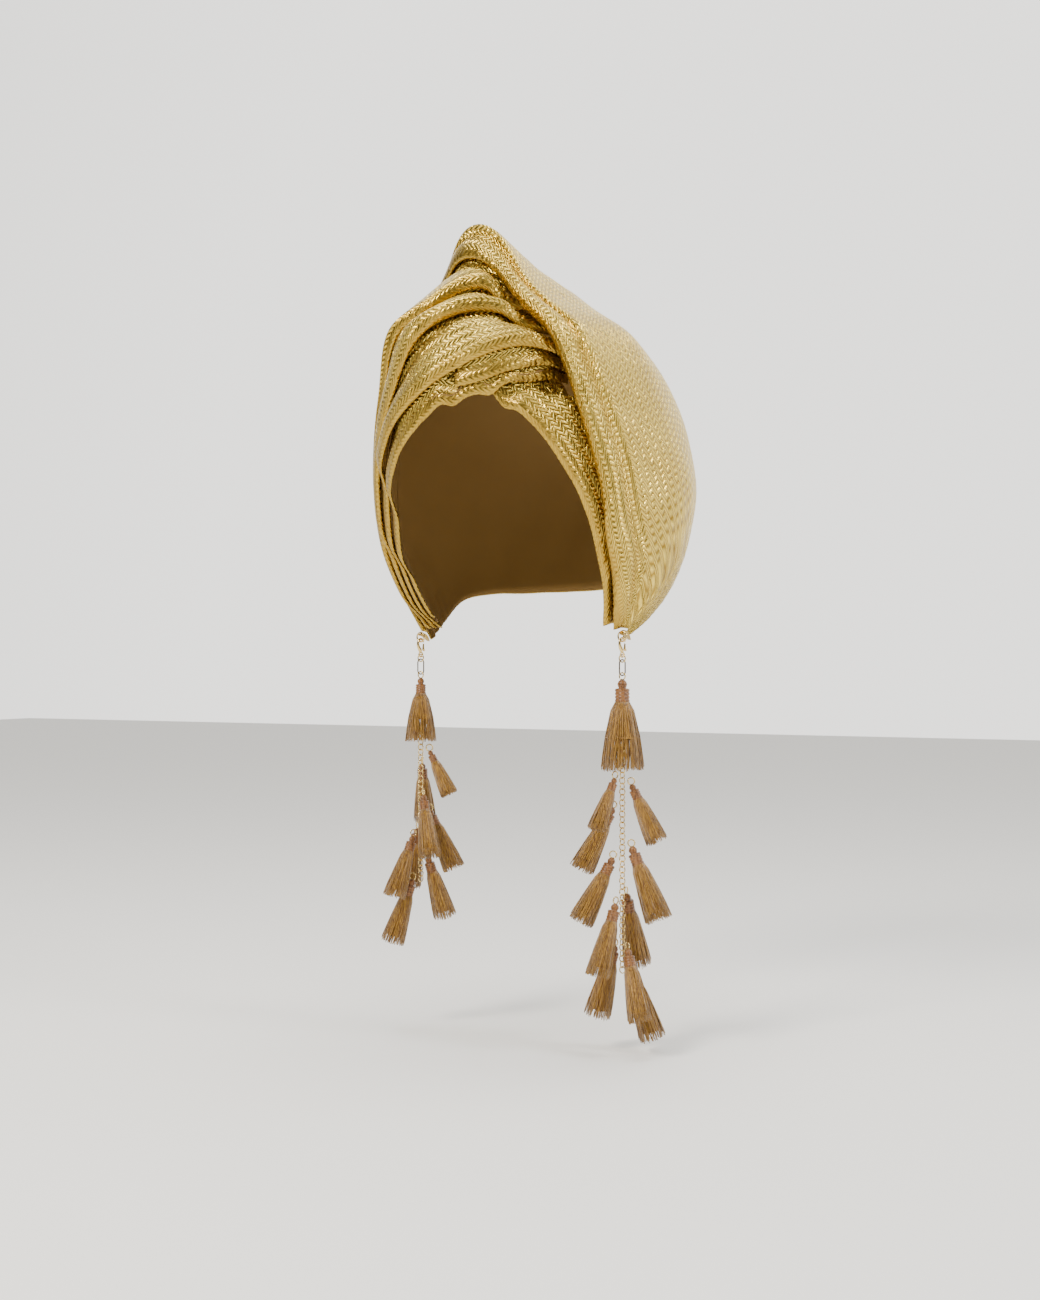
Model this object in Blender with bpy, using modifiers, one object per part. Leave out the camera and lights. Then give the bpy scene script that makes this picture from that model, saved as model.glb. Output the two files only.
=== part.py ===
"""Turban headband: a wrapped cloth hood with pleats, and a string of tassels at each ear."""

import math
from collections import namedtuple

import bmesh
import bpy
import numpy as np
from mathutils import Vector

# Driving sizes of the wrap, in metres
CROWN_HEIGHT = 0.132
EAR_LEVEL = 0.128
HALF_WIDTH = 0.099
FRONT_REACH = 0.102
BACK_REACH = 0.121
EGG = 0.10
WRAP_CENTRE = Vector((0.0, 0.0, -EAR_LEVEL))
CLOTH = 0.0010
HALVINGS = 26

# Driving sizes of the folds, in metres
ROLL = 0.010
LEAST_ROLL = 0.0022
DEPTH = 0.014
LAYER_GAP = 0.0015
OVERLAP = 0.013
NOSE_MARGIN = 0.0015
END_MARGIN = 2.2
WIDE_LEVER = 0.10
FALL_REACH = 0.55
FALL_DEPTH = 0.30
TUCK_SHARES = (0.0, 0.5, 1.0)
TUCK_WINDOW = 1 / 3
COVER_SAMPLES = 7
NOSE_SPREAD = 0.6
LEVELLING = 3.0

# Driving sizes of the hardware, in metres
EAR_TURN = 9.0
EAR_OVER = 70.0
EAR_BACK = -0.0025
EAR_DROP = 0.1218
RING_RADIUS = 0.0030
RING_WIRE = 0.0005
LINK_RADIUS = 0.0022
FINE_WIRE = 0.0004
CLASP_UNIT = 0.0010
CLASP_FACING = math.radians(62.0)
RING_FACING = math.radians(-10.0)
BAIL_HALF_WIDTH = 0.0022
BAIL_TOP = 0.0140
BAIL_BOTTOM = 0.0235
CHAIN_RADIUS = 0.0021
TASSEL_LENGTH = 0.0560
TASSEL_HEM = 0.0205
TASSEL_LOCKS = 5
LOOP_RADIUS = 0.0021
LOOP_SINK = 0.00015
TASSEL_STAND = 0.0055
KNOB_RADIUS = 0.0031
WRAP_RADIUS = 0.0046
FIRST_FLARE = 1.35
STRING_TURN = math.radians(27.0)
MERGE = 0.000005
CHAIN_HIDDEN = 0.70
CHAIN_TAIL = 0.07
CHAIN_POINTS = 7
CHAIN_SWAY = 0.0006
BAIL_BENDS = 4
TAB_ARC = (24.0, 42.0, 60.0, 78.0, 96.0, 112.0)
TAB_BELOW = 0.0022
TAB_THICK = 0.0022
TAB_HOLE = 0.0013
TAB_CLEAR = 0.0016
TAB_BULGE = ((-0.5, 0.9), (-0.25, 1.0), (0.25, 1.0), (0.5, 0.9))

# Plain finishes: colour, metallic, roughness
FINISHES = {
    "cloth": ((0.72, 0.50, 0.17), 0.9, 0.42),
    "thread": ((0.36, 0.20, 0.06), 0.0, 0.7),
    "pale metal": ((0.85, 0.68, 0.38), 1.0, 0.25),
    "dark metal": ((0.22, 0.18, 0.12), 1.0, 0.4),
}

# Clasp paths in its own plane, in clasp units: across, up, wire radius
HOOK_PATH = (
    (0.2, -9.7, 0.75), (-0.5, -8.4, 1.15), (-1.5, -6.4, 1.0), (-2.05, -4.4, 0.8),
    (-1.75, -2.6, 0.75), (-0.7, -1.35, 0.75), (0.7, -1.35, 0.72), (1.75, -2.3, 0.6), (2.0, -3.3, 0.45),
)
LEVER_PATH = ((2.9, -8.5, 0.55), (2.0, -7.9, 0.85), (1.95, -6.2, 0.6), (2.05, -4.2, 0.5))
CLASP_EYE = (0.0, -11.1, 1.35, 0.5)

# Outline of the wrapped cloth, as shares of the crown height, half width and reaches
Section = namedtuple("Section", "height half shift front back")
WRAP_SECTIONS = (
    Section(-1.00, 0.61, 0.02, 0.69, 0.50),
    Section(-0.925, 0.68, 0.03, 0.745, 0.595),
    Section(-0.835, 0.76, 0.04, 0.80, 0.70),
    Section(-0.695, 0.87, 0.04, 0.88, 0.835),
    Section(-0.465, 0.97, 0.04, 0.95, 0.94),
    Section(-0.23, 1.00, 0.05, 0.99, 1.00),
    Section(0.00, 0.96, 0.04, 1.00, 0.985),
    Section(0.23, 0.89, 0.03, 0.97, 0.87),
    Section(0.465, 0.78, -0.01, 0.92, 0.61),
    Section(0.60, 0.535, -0.02, 0.765, 0.38),
    Section(0.68, 0.415, -0.02, 0.665, 0.265),
    Section(0.765, 0.31, -0.02, 0.58, 0.13),
    Section(0.89, 0.19, -0.02, 0.46, -0.05),
    Section(1.00, 0.06, -0.03, 0.34, -0.17),
)

# Stations of each fold: degrees round the wrap from the left ear, degrees of its front edge over
# the wrap from the nape, then its crest below the outline and its roll as shares of DEPTH and ROLL
Station = namedtuple("Station", "around front crest roll")
HOOD = (
    Station(9, 112, 0.15, 0.20),
    Station(14, 113, 0.28, 0.32),
    Station(20, 114, 0.40, 0.45),
    Station(30, 115, 0.50, 0.65),
    Station(42, 116, 0.50, 0.80),
    Station(54, 113, 0.40, 0.80),
    Station(64, 111, 0.25, 0.75),
    Station(72, 109, 0.10, 0.70),
    Station(80, 106, 0.00, 0.60),
    Station(87, 103, 0.00, 0.55),
    Station(92, 102, 0.00, 0.50),
    Station(98, 99, 0.05, 0.35),
    Station(108, 96, 0.10, 0.25),
    Station(122, 95, 0.10, 0.25),
    Station(138, 96, 0.10, 0.25),
    Station(150, 98, 0.10, 0.22),
    Station(160, 101, 0.05, 0.18),
    Station(171, 105, 0.05, 0.16),
)
NAPE_HEM = (
    (9, 26), (20, 27), (36, 28), (54, 26), (72, 22), (90, 20), (108, 21), (122, 24), (138, 28), (171, 26)
)
PLEAT_TOP = (
    Station(79, 102, 0.90, 0.24),
    Station(83, 103.5, 0.50, 0.34),
    Station(86, 105.5, 0.25, 0.42),
    Station(90, 107.5, 0.10, 0.45),
    Station(96, 111.5, 0.05, 0.45),
    Station(104, 113, 0.05, 0.45),
    Station(118, 112, 0.05, 0.40),
    Station(134, 112, 0.10, 0.35),
    Station(150, 112, 0.15, 0.28),
    Station(162, 112, 0.20, 0.20),
    Station(168, 112, 0.25, 0.15),
)
PLEAT_UPPER = (
    Station(74, 102, 1.15, 0.24),
    Station(79, 105.8, 0.80, 0.33),
    Station(83, 109, 0.35, 0.42),
    Station(88, 112.5, 0.10, 0.46),
    Station(95, 116.5, 0.05, 0.48),
    Station(104, 118, 0.05, 0.48),
    Station(118, 117, 0.10, 0.42),
    Station(134, 117, 0.20, 0.34),
    Station(150, 117, 0.45, 0.25),
    Station(160, 117, 0.60, 0.18),
    Station(166, 117, 0.65, 0.15),
)
PLEAT_MIDDLE = (
    Station(70, 103.5, 1.50, 0.24),
    Station(75, 108.5, 1.05, 0.32),
    Station(79, 114, 0.55, 0.40),
    Station(84, 119, 0.20, 0.40),
    Station(90, 122, 0.10, 0.36),
    Station(98, 123.5, 0.05, 0.36),
    Station(108, 122.5, 0.10, 0.36),
    Station(120, 120, 0.20, 0.34),
    Station(134, 120.5, 0.50, 0.28),
    Station(148, 121, 0.80, 0.20),
    Station(158, 121, 0.98, 0.16),
    Station(164, 121, 1.00, 0.15),
)
BROW_ROLL = (
    Station(79.5, 118.5, 1.10, 0.20),
    Station(84, 120.5, 0.90, 0.22),
    Station(90, 123.5, 0.70, 0.24),
    Station(97, 125.5, 0.60, 0.26),
    Station(106, 125.5, 0.65, 0.28),
    Station(120, 123, 0.90, 0.28),
    Station(134, 123, 1.20, 0.24),
    Station(148, 123, 1.40, 0.18),
    Station(157, 123, 1.42, 0.15),
)
KNOT_BAND = (
    Station(73.5, 107.5, 1.60, 0.22),
    Station(75, 109.5, 1.40, 0.24),
    Station(78, 114.5, 1.05, 0.26),
    Station(81, 118, 0.70, 0.26),
    Station(84.5, 120, 0.60, 0.22),
)
TEMPLE_FLAP = (
    Station(12, 110, 0.85, 0.15),
    Station(18, 111, 1.05, 0.17),
    Station(28, 113, 1.45, 0.22),
    Station(40, 115.5, 1.65, 0.28),
    Station(52, 117, 1.60, 0.30),
    Station(62, 118, 1.45, 0.30),
    Station(70, 118.5, 1.35, 0.26),
    Station(75, 119, 1.30, 0.22),
    Station(79, 119, 1.30, 0.22),
)
NOSE_DEGREES = (-80.0, -35.0, 10.0, 50.0, 90.0)
ROUND_STEPS = 29
HOOD_SHARES = (0.16, 0.28, 0.40, 0.52, 0.64, 0.76, 0.88, 1.0)
CROWN_CROWDING = 0.45
GROOVE_REACH = 2.1
RIDGE_REACH = 2.9
GROOVE_DEPTH = 0.35

# Tassels down each string: drop of the top below the ear, then the way it leans about the chain
# in degrees, the slope of the lean and the size as a share
Tassel = namedtuple("Tassel", "drop turn lean size")
LEFT_TASSELS = (
    Tassel(0.0259, 0, 0.00, 0.98),
    Tassel(0.085, 215, 0.46, 0.60),
    Tassel(0.089, 10, 0.46, 0.68),
    Tassel(0.103, 168, 0.52, 0.76),
    Tassel(0.126, -12, 0.38, 0.84),
    Tassel(0.133, 176, 0.50, 0.78),
    Tassel(0.155, 62, 0.37, 0.86),
    Tassel(0.160, 222, 0.36, 0.80),
    Tassel(0.186, 140, 0.31, 0.82),
    Tassel(0.187, -60, 0.34, 0.78),
    Tassel(0.199, 20, 0.33, 0.82),
)
RIGHT_TASSELS = (
    Tassel(0.0259, 0, 0.00, 0.72),
    Tassel(0.0722, 0, 0.46, 0.55),
    Tassel(0.0805, 85, 0.38, 0.72),
    Tassel(0.100, -70, 0.38, 0.72),
    Tassel(0.110, 0, 0.43, 0.72),
    Tassel(0.122, 115, 0.36, 0.72),
    Tassel(0.126, 215, 0.38, 0.72),
    Tassel(0.140, 40, 0.36, 0.74),
    Tassel(0.154, 165, 0.34, 0.76),
)

# Rings down a tassel: its level as a share of the length, then the width it is a share of, that
# share, the depth between locks and the unevenness of their ends; the hollow is the top tassel's
Ring = namedtuple("Ring", "level of share flute stagger")
TASSEL_RINGS = (
    Ring(0.00, "knob", 0.35, 0.0, 0.0),
    Ring(0.035, "knob", 1.00, 0.0, 0.0),
    Ring(0.075, "knob", 1.00, 0.0, 0.0),
    Ring(0.10, "wrap", 1.00, 0.0, 0.0),
    Ring(0.25, "wrap", 1.00, 0.0, 0.0),
    Ring(0.62, "hem", 0.80, 0.08, 0.0),
    Ring(0.97, "hem", 1.00, 0.13, 0.03),
)
HOLLOW_RINGS = (
    Ring(0.93, "hem", 0.70, 0.0, 0.0),
    Ring(CHAIN_HIDDEN - 0.03, "chain", 1.60, 0.0, 0.0),
)


def pchip(xs, ys, x):
    """Monotone cubic through (xs, ys), read at the points x."""
    xs, ys, x = (np.asarray(values, float) for values in (xs, ys, x))
    step = np.diff(xs)
    slope = np.diff(ys) / step
    knot = np.concatenate([slope[:1], np.zeros(len(xs) - 2), slope[-1:]])
    for i in range(1, len(xs) - 1):
        if slope[i - 1] * slope[i] > 0:
            near, far = 2 * step[i] + step[i - 1], step[i] + 2 * step[i - 1]
            knot[i] = (near + far) / (near / slope[i - 1] + far / slope[i])
    i = np.clip(np.searchsorted(xs, x) - 1, 0, len(xs) - 2)
    t = np.clip((x - xs[i]) / step[i], 0, 1)
    start = (1 + 2 * t) * (1 - t) ** 2 * ys[i] + t * (1 - t) ** 2 * step[i] * knot[i]
    return start + t * t * (3 - 2 * t) * ys[i + 1] + t * t * (t - 1) * step[i] * knot[i + 1]


def wrap_columns():
    """Heights and the four outline sizes of the wrap, every millimetre."""
    rows = np.array(WRAP_SECTIONS)
    heights = np.arange(rows[0, 0] * CROWN_HEIGHT, CROWN_HEIGHT, 0.001)
    sizes = (HALF_WIDTH, HALF_WIDTH, -FRONT_REACH, BACK_REACH)
    columns = [
        pchip(rows[:, 0] * CROWN_HEIGHT, rows[:, k + 1] * size, heights)
        for k, size in enumerate(sizes)
    ]
    return heights, columns


HEIGHTS, COLUMNS = wrap_columns()


def outside(points):
    """Above zero where a point lies outside the wrapped cloth's outline."""
    x, y, z = points.T
    half, shift, front, back = (np.interp(z, HEIGHTS, column) for column in COLUMNS)
    share = (y - (front + back) / 2) / ((back - front) / 2)
    half = half * (1 + EGG * np.clip(share, -1, 1))
    level = ((x - shift) / half) ** 2 + share**2 - 1
    return np.where(z > HEIGHTS[-1], 1.0, level)


def directions(around, over):
    """Unit vectors from the wrap's centre for angles in degrees."""
    phi, v = np.radians(around), np.radians(over)
    return np.stack([np.cos(phi), np.sin(phi) * np.cos(v), np.sin(phi) * np.sin(v)], axis=-1)


def outline_radius(around, over):
    """Distance from the wrap's centre to its outline, in metres."""
    aim = directions(around, over)
    low, high = np.zeros(len(aim)), np.full(len(aim), 2 * (CROWN_HEIGHT + EAR_LEVEL))
    for _ in range(HALVINGS):
        middle = (low + high) / 2
        out = outside(np.array(WRAP_CENTRE) + aim * middle[:, None]) > 0
        low, high = np.where(out, low, middle), np.where(out, middle, high)
    return low


class Fold:
    """One strip of cloth round the wrap, which dives under the folds above it."""

    def __init__(self, name, table, above=(), overlap=OVERLAP, spread=0.0):
        self.name = name
        self.columns = np.array(table)
        self.overlap = overlap
        self.spread = spread
        self.above = above
        self.sections = {}

    def section(self, around):
        """Angles over the wrap and depths of the sheet where it crosses this angle round it."""
        key = round(float(around), 3)
        if key not in self.sections:
            self.sections[key] = self.worked_section(key)
        return self.sections[key]

    def worked_section(self, around):
        """Works out the section: the rolled nose, then the run to the rear."""
        front, crest, roll = (pchip(self.columns[:, 0], self.columns[:, k], around) for k in (1, 2, 3))
        lever = outline_radius(np.array([around]), np.array([front]))[0] * math.sin(math.radians(around))
        roll, crest = max(roll * ROLL, LEAST_ROLL), crest * DEPTH
        shoulder = front - math.degrees((roll + NOSE_MARGIN) / lever)
        crest = max(crest, self.cover(around, front, shoulder) + LAYER_GAP)
        turns = np.radians(NOSE_DEGREES)
        back = list(roll * (1 - np.cos(turns)))
        deep = list(crest + roll * (1 - np.sin(turns)))
        if self.above:
            self.dive(around, front, lever, back, deep)
        else:
            self.run_to_nape(around, front, lever, crest, roll, back, deep)
        return front - np.degrees(np.array(back) / lever), np.array(deep), crest + 2 * roll

    def run_to_nape(self, around, front, lever, crest, roll, back, deep):
        """Groove and ridge behind the roll, then an even run to the nape hem."""
        back += [GROOVE_REACH * roll, RIDGE_REACH * roll]
        deep += [crest + GROOVE_DEPTH * roll, crest]
        hem = np.array(NAPE_HEM)
        width = math.radians(front - pchip(hem[:, 0], hem[:, 1], around)) * lever
        start = back[-1]
        for share in HOOD_SHARES:
            back.append(start + (width - start) * share)
            deep.append(crest * (1 - min(1.0, LEVELLING * share)))

    def dive(self, around, front, lever, back, deep):
        """Falls from the crest to below the fold above, then runs on under it."""
        edges = [fold.section(around)[0].max() for fold in self.above if fold.reaches(around)]
        edge = max([over for over in edges if over < front] or [min(edges)])
        meet = max(math.radians(front - edge) * lever - NOSE_MARGIN, back[-1] + NOSE_MARGIN)
        crest, start = deep[-1], back[-1]
        reach = self.overlap * min(1.0, lever / WIDE_LEVER)
        window = math.degrees(reach * TUCK_WINDOW / lever)
        under = front - math.degrees(meet / lever)
        low = max(crest, self.cover(around, under + window / 2, under - window) + LAYER_GAP)
        back.append(start + (meet - start) * FALL_REACH)
        deep.append(crest + (low - crest) * FALL_DEPTH)
        for share in TUCK_SHARES:
            back.append(meet + reach * share)
            over = front - math.degrees(back[-1] / lever)
            deep.append(max(deep[-1], low, self.cover(around, over + window, over - window) + LAYER_GAP))

    def cover(self, around, first, last):
        """Greatest depth of the cloth above this fold between two angles over the wrap."""
        overs = np.linspace(first, last, COVER_SAMPLES)
        rounds = {around - self.spread, around, around + self.spread}
        places = [(near, over) for near in rounds for over in overs]
        return max((fold.floor(*place) for fold in self.above for place in places), default=-1.0)

    def reaches(self, around):
        """Whether the fold is there at this angle round the wrap, or nearly so."""
        return self.columns[0, 0] - END_MARGIN <= around <= self.columns[-1, 0] + END_MARGIN

    def floor(self, around, over):
        """Depth of this fold's underside at a place."""
        if not self.reaches(around):
            return -1.0
        overs, deep, nose = self.section(min(max(around, self.columns[0, 0]), self.columns[-1, 0]))
        nose_end = len(NOSE_DEGREES) - 1
        front, rear = overs.max(), overs.min()
        margin = (front - overs[nose_end]) * NOSE_SPREAD
        if over > front + margin or over < rear - margin:
            return -1.0
        if over > min(overs[0], overs[nose_end]) - margin:
            return nose
        return float(np.interp(-over, -overs[nose_end:], deep[nose_end:])) + CLOTH

    def grid(self):
        """Grid of points of the sheet, one row for each shared step round the wrap."""
        share = np.linspace(0, 1, ROUND_STEPS)
        share += CROWN_CROWDING * np.sin(2 * np.pi * share) / (2 * np.pi)
        first, last = HOOD[0].around, HOOD[-1].around
        rounds = first + (last - first) * share
        slack = END_MARGIN / 2
        inside = (rounds > self.columns[0, 0] - slack) & (rounds < self.columns[-1, 0] + slack)
        rows = []
        for around in rounds[inside]:
            over, deep, _ = self.section(around)
            arounds = np.full(len(over), around)
            radius = outline_radius(arounds, over) - deep
            rows.append(np.array(WRAP_CENTRE) + directions(arounds, over) * radius[:, None])
        return np.array(rows)


def make_folds():
    """The folds, each with those that lie over it, the nearest first."""
    hood = Fold("hood", HOOD)
    top = Fold("pleat_top", PLEAT_TOP, (hood,))
    upper = Fold("pleat_upper", PLEAT_UPPER, (top, hood))
    middle = Fold("pleat_middle", PLEAT_MIDDLE, (upper, top, hood))
    knot = Fold("knot_band", KNOT_BAND, (middle, upper, top, hood))
    brow = Fold("brow_roll", BROW_ROLL, (middle, knot, upper, hood), OVERLAP / 2)
    flap = Fold("temple_flap", TEMPLE_FLAP, (hood, brow, knot, middle, upper, top), OVERLAP / 2, 2 * END_MARGIN)
    return hood, top, upper, middle, knot, brow, flap


def new_object(name, mesh, collection):
    """Object of a mesh, in the given collection."""
    item = bpy.data.objects.new(name, mesh)
    collection.objects.link(item)
    return item


def fold_sheet(name, grid, collection):
    """Open sheet through a grid of points, made as thick as cloth."""
    count, across = grid.shape[:2]
    verts = [tuple(point) for row in grid for point in row]
    faces = [
        (i * across + j, i * across + j + 1, (i + 1) * across + j + 1, (i + 1) * across + j)
        for i in range(count - 1)
        for j in range(across - 1)
    ]
    mesh = bpy.data.meshes.new(name)
    mesh.from_pydata(verts, [], faces)
    item = new_object(name, mesh, collection)
    thick = item.modifiers.new("thickness", "SOLIDIFY")
    thick.thickness = CLOTH
    thick.offset = -1.0
    thick.use_even_offset = False
    thick.use_rim = True
    return item


def applied(item):
    """Mesh with its modifiers baked in and split into triangles."""
    graph = bpy.context.evaluated_depsgraph_get()
    mesh = bpy.data.meshes.new_from_object(item.evaluated_get(graph))
    item.modifiers.clear()
    item.data = mesh
    shape = bmesh.new()
    shape.from_mesh(mesh)
    bmesh.ops.triangulate(shape, faces=shape.faces)
    if shape.calc_volume(signed=True) < 0:
        bmesh.ops.reverse_faces(shape, faces=shape.faces)
    shape.to_mesh(mesh)
    shape.free()
    return item


def ring_loft(shape, rings, closed=False):
    """Faces between rings of equal counts; open ends are capped unless closed on itself."""
    loops = [[shape.verts.new(point) for point in ring] for ring in rings]
    count = len(loops[0])
    pairs = list(zip(loops, loops[1:] + loops[:1])) if closed else list(zip(loops, loops[1:]))
    for low, high in pairs:
        for i in range(count):
            j = (i + 1) % count
            shape.faces.new((low[i], low[j], high[j], high[i]))
    if not closed:
        shape.faces.new(list(reversed(loops[0])))
        shape.faces.new(loops[-1])


def wire(name, points, radii, collection, closed=False, resolution=1):
    """Round wire through points, made by bevelling a curve."""
    curve = bpy.data.curves.new(name, "CURVE")
    curve.dimensions = "3D"
    curve.bevel_depth = 1.0
    curve.bevel_resolution = resolution
    curve.use_fill_caps = not closed
    spline = curve.splines.new("POLY")
    spline.points.add(len(points) - 1)
    spline.use_cyclic_u = closed
    for spot, point, radius in zip(spline.points, points, radii):
        spot.co = (*point, 1.0)
        spot.radius = radius
    item = new_object(name, curve, collection)
    graph = bpy.context.evaluated_depsgraph_get()
    mesh = bpy.data.meshes.new_from_object(item.evaluated_get(graph))
    bpy.data.objects.remove(item)
    shape = bmesh.new()
    shape.from_mesh(mesh)
    bmesh.ops.remove_doubles(shape, verts=shape.verts, dist=MERGE)
    shape.to_mesh(mesh)
    shape.free()
    return applied(new_object(name, mesh, collection))


def in_plane(centre, across, up, facing):
    """Point of an upright plane through a centre; facing turns the plane about Z."""
    return centre + Vector((across * math.cos(facing), across * math.sin(facing), up))


def wire_ring(name, centre, radius, thick, facing, collection, turns=12, resolution=1):
    """Round ring of wire in an upright plane."""
    angles = [2 * math.pi * k / turns for k in range(turns)]
    points = [
        in_plane(centre, radius * math.cos(a), radius * math.sin(a), facing) for a in angles
    ]
    return wire(name, points, [thick] * turns, collection, True, resolution)


def finish_shape(shape, name, collection):
    """Object from a bmesh, with merged points and outward faces."""
    bmesh.ops.remove_doubles(shape, verts=shape.verts, dist=MERGE)
    bmesh.ops.recalc_face_normals(shape, faces=shape.faces)
    mesh = bpy.data.meshes.new(name)
    shape.to_mesh(mesh)
    shape.free()
    return new_object(name, mesh, collection)


def joined(item, other):
    """Exact union of two objects into the first; the second is removed."""
    union = item.modifiers.new("union", "BOOLEAN")
    union.operation = "UNION"
    union.solver = "EXACT"
    union.object = other
    applied(item)
    bpy.data.objects.remove(other)
    return item


def ear_point(side):
    """Centre of the ear ring, from which a string hangs; side is 1 at the left ear."""
    turn = EAR_TURN if side > 0 else 180 - EAR_TURN
    reach = outline_radius(np.array([turn]), np.array([EAR_OVER]))[0] * math.cos(math.radians(EAR_TURN))
    return Vector((side * (reach - CLOTH), EAR_BACK, -EAR_DROP))


VIEW_RIGHT = Vector((math.cos(STRING_TURN), math.sin(STRING_TURN), 0))


def tassel_ring(frame, level, radius, flute=0.0, stagger=0.0):
    """Ring of points across a tassel; flute makes locks, stagger sets their uneven ends."""
    top, down, across, deep, length = frame
    count = TASSEL_LOCKS * 2
    points = []
    for k in range(count):
        angle = 2 * math.pi * k / count
        lock = 1 if k % 2 else -1
        spread = radius * (1 + flute * lock)
        drop = length * (level + stagger * max(lock, 0))
        points.append(top + down * drop + (across * math.cos(angle) + deep * math.sin(angle)) * spread)
    return points


def make_tassel(name, row, side, collection, first):
    """Tassel: loop, knob, thread wrap and a skirt of locks, in one body."""
    turn = STRING_TURN + math.radians(row.turn)
    out = Vector((math.cos(turn), math.sin(turn), 0)) if not first else Vector((0, 0, 0))
    top = ear_point(side) + out * TASSEL_STAND - Vector((0, 0, row.drop))
    down = (Vector((0, 0, -1)) + out * row.lean).normalized()
    across = down.cross(Vector((0, 1, 0))).normalized()
    frame = (top, down, across, down.cross(across), TASSEL_LENGTH * row.size)
    knob, wrap = KNOB_RADIUS * row.size, WRAP_RADIUS * row.size
    hem = TASSEL_HEM / 2 * row.size * (FIRST_FLARE if first else 1.0)
    widths = {"knob": knob, "wrap": wrap, "hem": hem, "chain": CHAIN_RADIUS}
    rows = TASSEL_RINGS + (HOLLOW_RINGS if first else ())
    rings = [
        tassel_ring(frame, ring.level, widths[ring.of] * ring.share, ring.flute, ring.stagger)
        for ring in rows
    ]
    shape = bmesh.new()
    ring_loft(shape, rings)
    item = finish_shape(shape, name, collection)
    centre = top + Vector((0, 0, LOOP_RADIUS - LOOP_SINK))
    facing = RING_FACING if first else turn
    loop = wire_ring(name + "_loop", centre, LOOP_RADIUS, FINE_WIRE, facing, collection, 8, 0)
    return joined(item, loop)


def make_chain(name, side, rows, collection):
    """Fine chain, stood in for by a round cord-like body down the string."""
    start = rows[0].drop + TASSEL_LENGTH * rows[0].size * CHAIN_HIDDEN
    top = ear_point(side) - Vector((0, 0, start))
    drop = rows[-1].drop + TASSEL_LENGTH * CHAIN_TAIL - start
    points = []
    for k in range(CHAIN_POINTS):
        share = k / (CHAIN_POINTS - 1)
        sway = CHAIN_SWAY * math.sin(math.pi * share) * side
        points.append(top + VIEW_RIGHT * sway - Vector((0, 0, drop * share)))
    return wire(name, points, [CHAIN_RADIUS] * CHAIN_POINTS, collection, resolution=2)


def make_bail(name, side, collection):
    """Long wire link between the small ring and the top tassel."""
    start = ear_point(side)
    bend = BAIL_HALF_WIDTH
    points = []
    for k in range(BAIL_BENDS):
        angle = math.pi * k / (BAIL_BENDS - 1)
        up = -BAIL_TOP - bend + bend * math.sin(angle)
        points.append(in_plane(start, bend * math.cos(angle), up, CLASP_FACING))
    for k in range(BAIL_BENDS):
        angle = math.pi + math.pi * k / (BAIL_BENDS - 1)
        up = -BAIL_BOTTOM + bend + bend * math.sin(angle)
        points.append(in_plane(start, bend * math.cos(angle), up, CLASP_FACING))
    return wire(name, points, [FINE_WIRE] * len(points), collection, True)


def clasp_wire(name, path, side, collection):
    """Wire of varying radius along a path in the clasp's own plane."""
    start = ear_point(side)
    points = [in_plane(start, x * CLASP_UNIT, z * CLASP_UNIT, CLASP_FACING) for x, z, _ in path]
    return wire(name, points, [radius * CLASP_UNIT for _, _, radius in path], collection)


def make_clasp(label, side, collection):
    """Hooked clasp with an eye, its lever, the ring above it and the links below it."""
    start = ear_point(side)
    wire_ring(f"ear_ring_{label}", start, RING_RADIUS, RING_WIRE, RING_FACING, collection)
    across, up, radius, thick = (value * CLASP_UNIT for value in CLASP_EYE)
    hook = clasp_wire(f"clasp_{label}", HOOK_PATH, side, collection)
    centre = in_plane(start, across, up, CLASP_FACING)
    joined(hook, wire_ring("eye", centre, radius, thick, CLASP_FACING, collection, 8, 0))
    clasp_wire(f"clasp_lever_{label}", LEVER_PATH, side, collection)
    below = centre - Vector((0, 0, LINK_RADIUS))
    wire_ring(f"link_ring_{label}", below, LINK_RADIUS, FINE_WIRE, RING_FACING, collection, 8)
    make_bail(f"bail_{label}", side, collection)


def make_ear_tab(label, side, parts, cutters):
    """Gathered end of the cloth, with the eyelet that the ear ring passes through."""
    start = ear_point(side)
    eyelet = start + Vector((0, 0, RING_RADIUS))
    pole = Vector((start.x, 0, -EAR_LEVEL))
    reach = abs(start.x) * math.tan(math.radians(EAR_TURN)) - TAB_CLEAR
    arc = [math.radians(v) for v in TAB_ARC]
    outline = [(reach * math.cos(v), reach * math.sin(v)) for v in arc]
    low = eyelet.z - pole.z - TAB_BELOW
    outline += [(eyelet.y - TAB_BELOW, low + TAB_BELOW * 0.6), (eyelet.y, low), (eyelet.y + TAB_BELOW, low)]
    shape = bmesh.new()
    rims = []
    for offset, shrink in TAB_BULGE:
        rims.append([
            pole + Vector((offset * TAB_THICK, eyelet.y + (y - eyelet.y) * shrink, low + (z - low) * shrink))
            for y, z in outline
        ])
    ring_loft(shape, rims)
    item = finish_shape(shape, f"ear_tab_{label}", parts)
    bpy.ops.mesh.primitive_cylinder_add(vertices=8, radius=TAB_HOLE, depth=4 * TAB_THICK, location=eyelet)
    cutter = bpy.context.object
    cutter.name = f"eyelet_{label}"
    cutter.rotation_euler = (0, math.pi / 2, RING_FACING)
    for home in list(cutter.users_collection):
        home.objects.unlink(cutter)
    cutters.objects.link(cutter)
    cutter.hide_render = True
    cut = item.modifiers.new("eyelet", "BOOLEAN")
    cut.operation = "DIFFERENCE"
    cut.solver = "EXACT"
    cut.object = cutter
    applied(item)


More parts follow.
